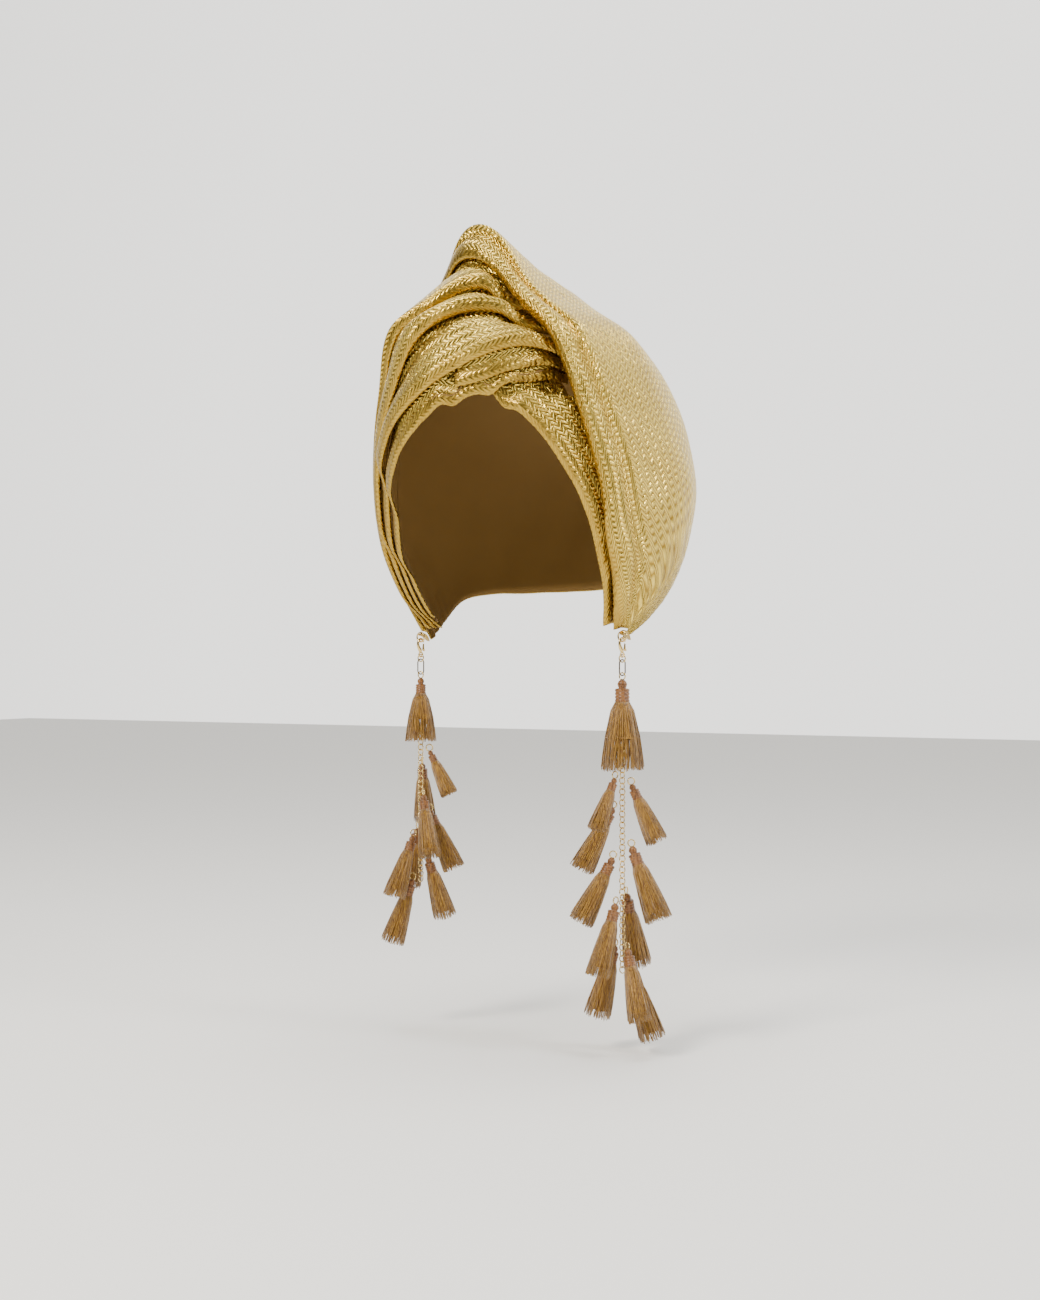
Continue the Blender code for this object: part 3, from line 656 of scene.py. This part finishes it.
@dataclass(frozen=True)
class FoilCloth:
    """Foil-coated cloth embossed with a herringbone between heated rollers.

    The foil gives broad golden reflections; the embossed limbs break them into bright steep strokes,
    and on the rolled edges the stretched foil shows fine crinkles across the roll instead.
    Its colour is also painted: lighter on the raised limbs and darker in the grooves between them,
    a painted highlight and painted shade on the relief, with some random tone on top.
    """

    column: float = 0.0032
    pitch: float = 0.0034
    slope: float = 1.19
    plain_edge: float = 0.011
    # high is the painted highlight colour of the raised herringbone limbs; low is the painted shade colour of the
    # grooves between them.
    high: str = "#F6D869"
    low: str = "#8C6516"
    rough: float = 0.29

    def build(self, name: str):
        """Makes the material.

        Args:
            name: Name of the material.

        Returns:
            The material.
        """
        material, tree, shader = blank(name)
        place = node(tree, "ShaderNodeUVMap", uv_map="cloth").outputs[0]
        split = node(tree, "ShaderNodeSeparateXYZ", {0: place})
        across, along = split.outputs[0], split.outputs[1]
        zigzag = maths(tree, "PINGPONG", across, self.column)
        slanted = maths(tree, "ADD", along, maths(tree, "MULTIPLY", zigzag, self.slope))
        phase = maths(tree, "MULTIPLY", slanted, 2 * math.pi / self.pitch)
        limb = maths(tree, "MULTIPLY_ADD", maths(tree, "SINE", phase), 0.5, 0.5)
        seam = maths(tree, "PINGPONG", across, self.column / 2)
        seam = maths(tree, "DIVIDE", seam, self.column / 2)
        edge = node(tree, "ShaderNodeMapRange", {0: seam, 1: 0.0, 2: 0.25, 3: 0.35, 4: 1.0}).outputs[0]
        emboss = maths(tree, "MULTIPLY", maths(tree, "POWER", limb, 0.7), edge)
        mask = node(
            tree, "ShaderNodeMapRange",
            {0: across, 1: self.plain_edge * 0.6, 2: self.plain_edge * 1.3, 3: 0.25, 4: 1.0},
        ).outputs[0]
        stretched = node(tree, "ShaderNodeVectorMath", {0: place, 1: (45.0, 300.0, 1.0)}, operation="MULTIPLY")
        crinkle = node(
            tree, "ShaderNodeTexNoise", {"Vector": stretched.outputs[0], "Scale": 1.0, "Detail": 1.5}
        ).outputs[0]
        broad = node(tree, "ShaderNodeTexNoise", {"Vector": place, "Scale": 55.0, "Detail": 3.0}).outputs[0]
        height = maths(tree, "MULTIPLY", emboss, mask)
        first = node(
            tree, "ShaderNodeBump", {"Strength": 1.0, "Distance": 0.00055, "Height": height}
        ).outputs[0]
        second = node(
            tree, "ShaderNodeBump", {"Strength": 0.7, "Distance": 0.0012, "Height": crinkle, "Normal": first}
        ).outputs[0]
        third = node(
            tree, "ShaderNodeBump", {"Strength": 0.5, "Distance": 0.004, "Height": broad, "Normal": second}
        ).outputs[0]
        # Painted highlight and shade: the colour runs from low in the grooves to high on the raised limbs with the
        # emboss height, and stays darker where the emboss fades near the plain edge. The broad noise adds random tone.
        relief_shade_and_tone = maths(tree, "MULTIPLY_ADD", height, 0.75, maths(tree, "MULTIPLY", broad, 0.35))
        colour = node(
            tree, "ShaderNodeMix", {0: relief_shade_and_tone, 6: linear(self.low), 7: linear(self.high)}, data_type="RGBA"
        ).outputs[2]
        tree.links.new(colour, shader.inputs["Base Color"])
        rough = maths(tree, "MULTIPLY_ADD", crinkle, 0.22, self.rough - 0.11)
        tree.links.new(rough, shader.inputs["Roughness"])
        tree.links.new(third, shader.inputs["Normal"])
        shader.inputs["Metallic"].default_value = 0.97
        return material


@dataclass(frozen=True)
class ClothBack:
    """Plain woven back of the foil cloth, dull because it carries no foil."""

    colour: str = "#8A6A33"

    def build(self, name: str):
        """Makes the material and returns it."""
        material, tree, shader = blank(name)
        place = node(tree, "ShaderNodeUVMap", uv_map="cloth").outputs[0]
        weave = node(tree, "ShaderNodeTexNoise", {"Vector": place, "Scale": 2500.0, "Detail": 2.0}).outputs[0]
        bump = node(tree, "ShaderNodeBump", {"Strength": 0.3, "Distance": 0.0002, "Height": weave}).outputs[0]
        tree.links.new(bump, shader.inputs["Normal"])
        shader.inputs["Base Color"].default_value = linear(self.colour)
        shader.inputs["Roughness"].default_value = 0.75
        shader.inputs["Metallic"].default_value = 0.3
        return material


@dataclass(frozen=True)
class Thread:
    """Twisted rayon thread, dyed golden brown, which shines softly along each strand."""

    high: str = "#B98A34"
    low: str = "#643E10"
    rough: float = 0.42

    def build(self, name: str):
        """Makes the material and returns it."""
        material, tree, shader = blank(name)
        place = node(tree, "ShaderNodeTexCoord").outputs["Object"]
        fine = node(tree, "ShaderNodeVectorMath", {0: place, 1: (1.0, 1.0, 0.12)}, operation="MULTIPLY")
        noise = node(
            tree, "ShaderNodeTexNoise", {"Vector": fine.outputs[0], "Scale": 1400.0, "Detail": 2.0}
        ).outputs[0]
        spread = node(tree, "ShaderNodeMapRange", {0: noise, 1: 0.3, 2: 0.7, 3: 0.0, 4: 1.0}).outputs[0]
        colour = node(
            tree, "ShaderNodeMix", {0: spread, 6: linear(self.low), 7: linear(self.high)}, data_type="RGBA"
        ).outputs[2]
        tree.links.new(colour, shader.inputs["Base Color"])
        shader.inputs["Roughness"].default_value = self.rough
        shader.inputs["Sheen Weight"].default_value = 0.3
        shader.inputs["Sheen Roughness"].default_value = 0.4
        return material


@dataclass(frozen=True)
class PlatedMetal:
    """Thin plating over cast or drawn brass, with one even colour and a noisy roughness."""

    colour: str
    rough: float

    def build(self, name: str):
        """Makes the material and returns it."""
        material, tree, shader = blank(name)
        place = node(tree, "ShaderNodeTexCoord").outputs["Object"]
        noise = node(tree, "ShaderNodeTexNoise", {"Vector": place, "Scale": 700.0, "Detail": 3.0}).outputs[0]
        rough = maths(tree, "MULTIPLY_ADD", noise, 0.2, self.rough - 0.1)
        tree.links.new(rough, shader.inputs["Roughness"])
        shader.inputs["Base Color"].default_value = linear(self.colour)
        shader.inputs["Metallic"].default_value = 1.0
        return material


class Finish(Enum):
    """Finishes of the object."""

    CLOTH = FoilCloth()
    BACK = ClothBack()
    SKIRT = Thread()
    WRAP = Thread(high="#A06A34", low="#4B2B10", rough=0.4)
    PALE = PlatedMetal("#E2C582", 0.22)
    DARK = PlatedMetal("#5A4A30", 0.38)


def settle(item, body: str, slot: str, *nodes: str):
    """Ties a piece to its body, hides the nodes it stands for and logs its face count."""
    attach(item, body)
    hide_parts(*nodes)
    LOG.info("%s: %d faces for %s", item.name, len(item.data.polygons), ", ".join(nodes))
    return item


@dataclass
class ClothWrap:
    """The hood and the pleats, folds of one embossed cloth."""

    material: object
    back: object
    body: str = "turban"

    def folds(self) -> list[Fold]:
        """The folds, each with those that lie over it, the nearest first."""
        hood = Fold("hood", HOOD)
        top = Fold("pleat_top", PLEAT_TOP, (hood,))
        upper = Fold("pleat_upper", PLEAT_UPPER, (top, hood))
        middle = Fold("pleat_middle", PLEAT_MIDDLE, (upper, top, hood))
        knot = Fold("knot_band", KNOT_BAND, (middle, upper, top, hood))
        brow = Fold("brow_roll", BROW_ROLL, (middle, knot, upper, hood))
        flap = Fold("temple_flap", TEMPLE_FLAP, (hood, brow, knot, middle, upper, top), OVERLAP, END_MARGIN)
        return [hood, top, upper, middle, knot, brow, flap]

    def build(self) -> None:
        """Makes one thin sheet for each fold, with its weave placed in true metres."""
        for fold in self.folds():
            grid = fold.grid()
            rows, across = grid.shape[:2]
            wide = np.linalg.norm(np.diff(grid, axis=1), axis=2)
            wide = np.concatenate([np.zeros((rows, 1)), np.cumsum(wide, axis=1)], axis=1)
            long = np.linalg.norm(np.diff(grid, axis=0), axis=2)
            long = np.concatenate([np.zeros((1, across)), np.cumsum(long, axis=0)], axis=0)
            long -= long[rows // 2]
            shape = Shape()
            faces = [
                (i * across + j, i * across + j + 1, (i + 1) * across + j + 1, (i + 1) * across + j)
                for i in range(rows - 1) for j in range(across - 1)
            ]
            shape.add(grid.reshape(-1, 3), faces)
            item = shape.object("cloth_" + fold.name, [self.material, self.back])
            places = item.data.uv_layers.new(name="cloth")
            corners = np.array(faces).ravel()
            uv = np.stack([wide.ravel()[corners], long.ravel()[corners]], axis=1)
            places.data.foreach_set("uv", uv.ravel())
            thick = item.modifiers.new("thickness", "SOLIDIFY")
            thick.thickness = CLOTH
            thick.offset = -1.0
            thick.use_even_offset = False
            thick.material_offset = 1
            settle(item, self.body, "cloth", fold.name)


@dataclass
class TasselString:
    """Tassels of one ear's string, each with its knob, thread wrap, loop and loose strands."""

    side: str
    materials: list
    strands: int = 210
    body: str = "turban"

    def build(self) -> None:
        """Makes every tassel of the string."""
        random = np.random.default_rng(SEED + len(self.side))
        for k, row in enumerate(TASSELS[self.side], 1):
            name = f"tassel_{self.side}_{k:02d}"
            self.build_one(name, row, k == 1, random)

    def build_one(self, name: str, row: Tassel, first: bool, random) -> None:
        """Makes one tassel.

        Args:
            name: The CAD node that it stands for.
            row: Its place and size.
            first: Whether it is the large one at the top of the string.
            random: Source of the strands' unevenness.
        """
        turn = STRING_TURN + math.radians(row.turn)
        out = Vector((0, 0, 0)) if first else Vector((math.cos(turn), math.sin(turn), 0))
        top = EAR_POINTS[self.side] + out * TASSEL_STAND - Vector((0, 0, row.drop))
        down = (Vector((0, 0, -1)) + out * row.lean).normalized()
        across = down.cross(Vector((0, 1, 0))).normalized()
        deep = down.cross(across)
        length = TASSEL_LENGTH * row.size
        knob, wrap = KNOB_RADIUS * row.size, WRAP_RADIUS * row.size
        hem = TASSEL_HEM / 2 * row.size * (FIRST_FLARE if first else 1.0)
        shape = Shape()
        profile = [(0.0, knob * 0.3), (0.02, knob * 0.75), (0.05, knob), (0.08, knob * 0.85), (0.095, knob * 0.7)]
        for turn_of_thread in range(4):
            start = 0.10 + turn_of_thread * 0.0375
            for part, bulge in ((0.002, 0.90), (0.011, 0.985), (0.026, 0.985), (0.0355, 0.90)):
                profile.append((start + part, wrap * bulge))
        self.lathe(shape, profile, top, down, across, deep, length, 20, 1)
        core = [(0.25, wrap * 0.8), (0.45, hem * 0.58), (0.62, hem * 0.72), (0.64 if first else 0.88, hem * 0.8)]
        self.lathe(shape, core, top, down, across, deep, length, 16, 0)
        facing = RING_FACING if first else turn
        shape.ring(top + Vector((0, 0, LOOP_RADIUS - 0.00015)), LOOP_RADIUS, FINE_WIRE, facing, 2, 18)
        levels = np.array([0.24, 0.34, 0.62, 0.82, 0.985])
        for _ in range(int(self.strands * (1.25 if first else 1.0))):
            angle = random.uniform(0, 2 * math.pi)
            inner = random.uniform(0.72, 1.0)
            radii = np.array([wrap * 0.92, wrap * 0.5 + hem * 0.36, hem * 0.80, hem * 0.93, hem * 1.0])
            radii = radii * (1 - (1 - inner) * np.array([0.0, 0.3, 0.8, 1.0, 1.1]))
            angles = angle + np.cumsum(random.normal(0, 0.05, 5))
            ends = levels.copy()
            ends[-1] = min(1.0, levels[-1] + random.uniform(-0.045, 0.02))
            path = [
                top + down * (length * level) + (across * math.cos(a) + deep * math.sin(a)) * radius
                for level, a, radius in zip(ends, angles, radii)
            ]
            normal = across * -math.sin(angle) + deep * math.cos(angle)
            shape.tube(path, [0.00020, 0.00026, 0.00027, 0.00025, 0.00020], normal, 3)
        settle(shape.object("strands_" + name, self.materials), self.body, "thread", name)

    @staticmethod
    def lathe(shape, profile, top, down, across, deep, length, sides, finish) -> None:
        """Adds a turned body with closed ends to a shape."""
        points, faces = [], []
        for level, radius in profile:
            for k in range(sides):
                angle = 2 * math.pi * k / sides
                points.append(top + down * (length * level) + (across * math.cos(angle) + deep * math.sin(angle)) * radius)
        for i in range(len(profile) - 1):
            for k in range(sides):
                m = (k + 1) % sides
                faces.append((i * sides + k, i * sides + m, (i + 1) * sides + m, (i + 1) * sides + k))
        faces.append(tuple(range(sides)))
        faces.append(tuple((len(profile) - 1) * sides + k for k in reversed(range(sides))))
        shape.add(points, faces, finish)


@dataclass
class HangingChain:
    """Fine cable chain of one string, link through link."""

    side: str
    material: object
    body: str = "turban"

    def build(self) -> None:
        """Makes the links from the top tassel down to the last one."""
        rows = TASSELS[self.side]
        start = rows[0].drop + TASSEL_LENGTH * rows[0].size * CHAIN_HIDDEN
        end = rows[-1].drop + TASSEL_LENGTH * CHAIN_TAIL
        count = int((end - start - LINK_OUTER) / LINK_PITCH) + 1
        shape = Shape()
        for k in range(count):
            centre = EAR_POINTS[self.side] - Vector((0, 0, start + LINK_OUTER / 2 + k * LINK_PITCH))
            facing = STRING_TURN + (math.radians(50) if k % 2 else math.radians(-40))
            shape.ring(centre, LINK_OUTER / 2 - LINK_WIRE, LINK_WIRE, facing, 0, 16)
        settle(shape.object(f"links_{self.side}", [self.material]), self.body, "pale_metal", f"chain_{self.side}")


@dataclass
class ClaspSet:
    """Ear ring, hooked clasp with its lever, small ring and long bail of one ear."""

    side: str
    pale: object
    dark: object
    body: str = "turban"

    def place(self, across: float, up: float) -> Vector:
        """Point of the clasp's own plane, from millimetres across and up."""
        turn = Vector((math.cos(CLASP_FACING), math.sin(CLASP_FACING), 0))
        return EAR_POINTS[self.side] + turn * across * 0.001 + Vector((0, 0, up * 0.001))

    def wire(self, name: str, path, body: str, node_name: str, eye: bool) -> None:
        """Makes a wire of varying thickness along a path of the clasp's plane."""
        shape = Shape()
        fine = rounded(np.array(path), 6)
        normal = (math.sin(CLASP_FACING), -math.cos(CLASP_FACING), 0)
        shape.tube([self.place(x, z) for x, z, _ in fine], [r * 0.001 for _, _, r in fine], normal, 12)
        if eye:
            shape.ring(self.place(0, -EYE_DROP * 1000), EYE_RADIUS, 0.0005, CLASP_FACING)
        settle(shape.object(name, [self.pale]), body, "pale_metal", node_name)

    def build(self) -> None:
        """Makes every piece of the set."""
        side, ear = self.side, EAR_POINTS[self.side]
        rings = (
            ("ear_ring", ear, EAR_RING[0], EAR_RING[1], self.pale, "pale_metal"),
            ("link_ring", ear - Vector((0, 0, EYE_DROP + SMALL_RING)), SMALL_RING, FINE_WIRE, self.pale, "pale_metal"),
        )
        for name, centre, radius, thick, material, slot in rings:
            shape = Shape()
            shape.ring(centre, radius, thick, RING_FACING)
            settle(shape.object(f"{name}_wire_{side}", [material]), self.body, slot, f"{name}_{side}")
        shape = Shape()
        top, bottom, half = BAIL
        middle = ear - Vector((0, 0, (top + bottom) / 2))
        shape.ring(middle, half, FINE_WIRE, CLASP_FACING, 0, 24, bottom - top - 2 * half)
        settle(shape.object(f"bail_wire_{side}", [self.dark]), self.body, "dark_metal", f"bail_{side}")
        self.wire(f"hook_{side}", HOOK_PATH, self.body, f"clasp_{side}", True)
        self.wire(f"lever_{side}", LEVER_PATH, f"clasp_{side}_lever", f"clasp_lever_{side}", False)


@dataclass
class Studio:
    """Plain pale floor, soft lights and the camera at the photo's angle."""

    floor_level: float
    azimuth: float = math.radians(27.0)

    def area(self, name: str, place, aim, size: float, power: float, colour: str) -> None:
        """Adds a soft square light.

        Args:
            name: Name of the light.
            place: Where it stands.
            aim: The point it faces.
            size: Side of the square in metres.
            power: Power in watts.
            colour: Its sRGB colour.
        """
        data = bpy.data.lights.new(name, "AREA")
        data.size, data.energy, data.color = size, power, linear(colour)[:3]
        item = bpy.data.objects.new(name, data)
        item.location = place
        item.rotation_euler = (Vector(aim) - Vector(place)).to_track_quat("-Z", "Y").to_euler()
        bpy.context.scene.collection.objects.link(item)

    def build(self) -> None:
        """Makes the floor, the world, the lights and the camera."""
        shape = Shape()
        span = 4.0
        shape.add(
            [(x, y, self.floor_level) for x, y in ((-span, -span), (span, -span), (span, span), (-span, span))],
            [(0, 1, 2, 3)],
        )
        material, _, shader = blank("matte_painted_floor")
        shader.inputs["Base Color"].default_value = linear("#F4F3F0")
        shader.inputs["Roughness"].default_value = 0.85
        shape.object("floor", [material], False)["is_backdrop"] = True
        world = bpy.data.worlds.new("studio")
        bpy.context.scene.world = world
        world.use_nodes = True
        tree = world.node_tree
        place = node(tree, "ShaderNodeTexCoord").outputs["Generated"]
        split = node(tree, "ShaderNodeSeparateXYZ", {0: place})
        behind = node(
            tree, "ShaderNodeMapRange", {0: split.outputs[1], 1: 0.0, 2: 0.8, 3: 0.17, 4: 2.1}
        ).outputs[0]
        above = node(tree, "ShaderNodeMapRange", {0: split.outputs[2], 1: 0.3, 2: 0.9, 3: 0.0, 4: 0.5}).outputs[0]
        level = maths(tree, "ADD", behind, above)
        background = tree.nodes["Background"]
        background.inputs[0].default_value = linear("#FFFDF8")
        tree.links.new(level, background.inputs[1])
        back = Vector((math.sin(self.azimuth), -math.cos(self.azimuth), 0))
        right = Vector((math.cos(self.azimuth), math.sin(self.azimuth), 0))
        rise = Vector((0, 0, 1))
        aim = (0, 0, -0.05)
        self.area("key", back * 0.9 - right * 0.8 + rise * 0.8, aim, 0.4, 24, "#FFF8EC")
        self.area("side", back * 0.6 + right * 1.1 + rise * 0.5, aim, 0.35, 9, "#FFFFFF")
        self.area("top", back * 0.1 + rise * 1.3, aim, 0.7, 12, "#FFFFFF")
        camera = bpy.data.cameras.new("camera")
        camera.sensor_width = 36.0
        camera.lens = 36.0 * 1130 / 0.62 / 1300
        item = bpy.data.objects.new("camera", camera)
        target = Vector((0, 0, -0.130)) + right * 0.0031
        item.location = target + back * 1.13
        item.rotation_euler = (-back).to_track_quat("-Z", "Y").to_euler()
        bpy.context.scene.collection.objects.link(item)
        bpy.context.scene.camera = item


def main() -> None:
    """Builds every part of the scene in order."""
    logging.basicConfig(level=logging.INFO, format="%(name)s: %(message)s")
    sizes = {"cad": [list(corner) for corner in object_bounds()]}
    cloth, back, skirt, wrap, pale, dark = (
        Finish.CLOTH.value.build("foil_cloth_embossed"),
        Finish.BACK.value.build("foil_cloth_woven_back"),
        Finish.SKIRT.value.build("rayon_thread_twisted"),
        Finish.WRAP.value.build("rayon_thread_wound"),
        Finish.PALE.value.build("pale_gold_plate_polished"),
        Finish.DARK.value.build("dark_brass_antiqued"),
    )
    ClothWrap(cloth, back).build()
    for side in ("left", "right"):
        TasselString(side, [skirt, wrap, pale]).build()
        HangingChain(side, pale).build()
        ClaspSet(side, pale, dark).build()
        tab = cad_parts[f"ear_tab_{side}"]
        tab.data.materials.clear()
        tab.data.materials.append(cloth)
    Studio(sizes["cad"][0][2] - 0.006).build()
    bpy.context.view_layer.update()
    sizes["visual"] = [list(corner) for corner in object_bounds()]
    LOG.info("sizes %s", sizes)


if __name__ == "__main__":
    main()
